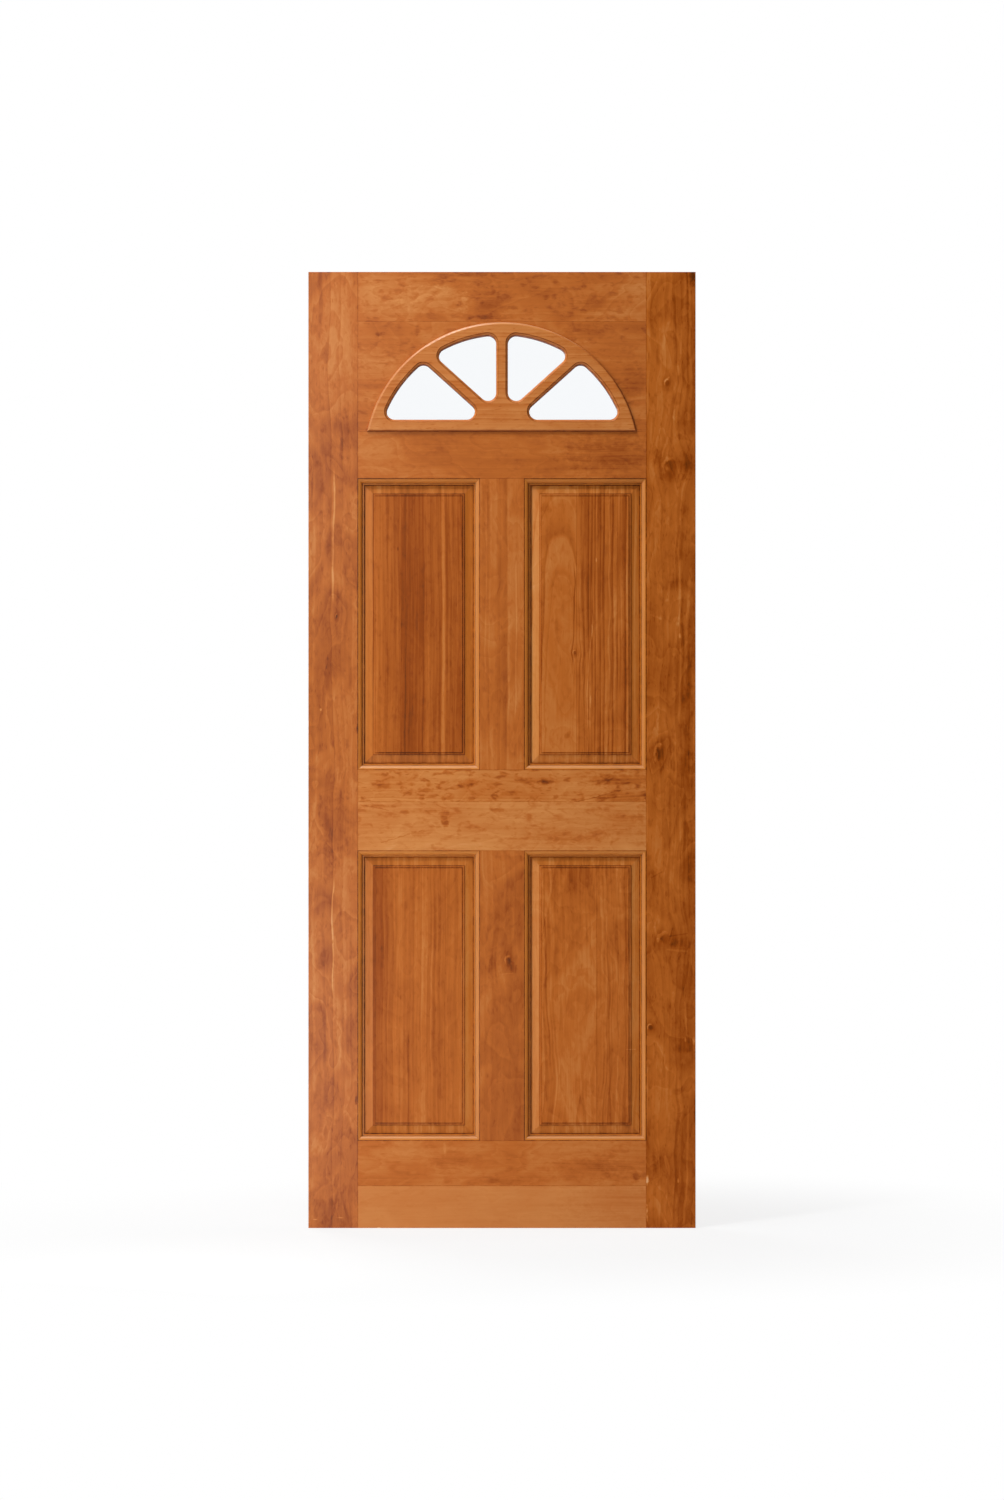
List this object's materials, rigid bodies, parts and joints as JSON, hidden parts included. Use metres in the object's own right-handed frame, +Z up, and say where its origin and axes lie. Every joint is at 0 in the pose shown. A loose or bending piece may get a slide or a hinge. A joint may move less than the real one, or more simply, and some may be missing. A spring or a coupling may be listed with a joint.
{
  "type": "glazed door leaf",
  "caption": "Upright timber door leaf with a half-moon fan light over raised and fielded panels set in moulded stiles, rails and muntins.",
  "frame": {"origin": "on the hinge edge of the leaf, at mid thickness, level with the bottom edge", "axes": "+X across the leaf from the hinge edge to the lock edge, +Y from the front face to the back, +Z up"},
  "size_m": [0.823, 0.052, 2.032],
  "materials": {
    "stile_timber": "stained and varnished, satin",
    "rail_timber": "stained and varnished, satin",
    "muntin_timber": "stained and varnished, satin",
    "panel_timber": "stained and varnished, satin",
    "fan_timber": "stained and varnished, satin",
    "clear_glass": "clear, polished"
  },
  "bodies": {
    "root": {"hinge_stile": "stile_timber", "lock_stile": "stile_timber", "top_rail_upper_board": "rail_timber", "top_rail_fan_board": "rail_timber", "frieze_rail": "rail_timber", "lock_rail_upper_board": "rail_timber", "lock_rail_lower_board": "rail_timber", "bottom_rail_upper_board": "rail_timber", "bottom_rail_lower_board": "rail_timber", "upper_muntin": "muntin_timber", "lower_muntin": "muntin_timber", "upper_left_panel": "panel_timber", "upper_right_panel": "panel_timber", "lower_left_panel": "panel_timber", "lower_right_panel": "panel_timber", "front_fan_frame": "fan_timber", "back_fan_frame": "fan_timber", "fan_glass": "clear_glass"}
  },
  "joints": []
}
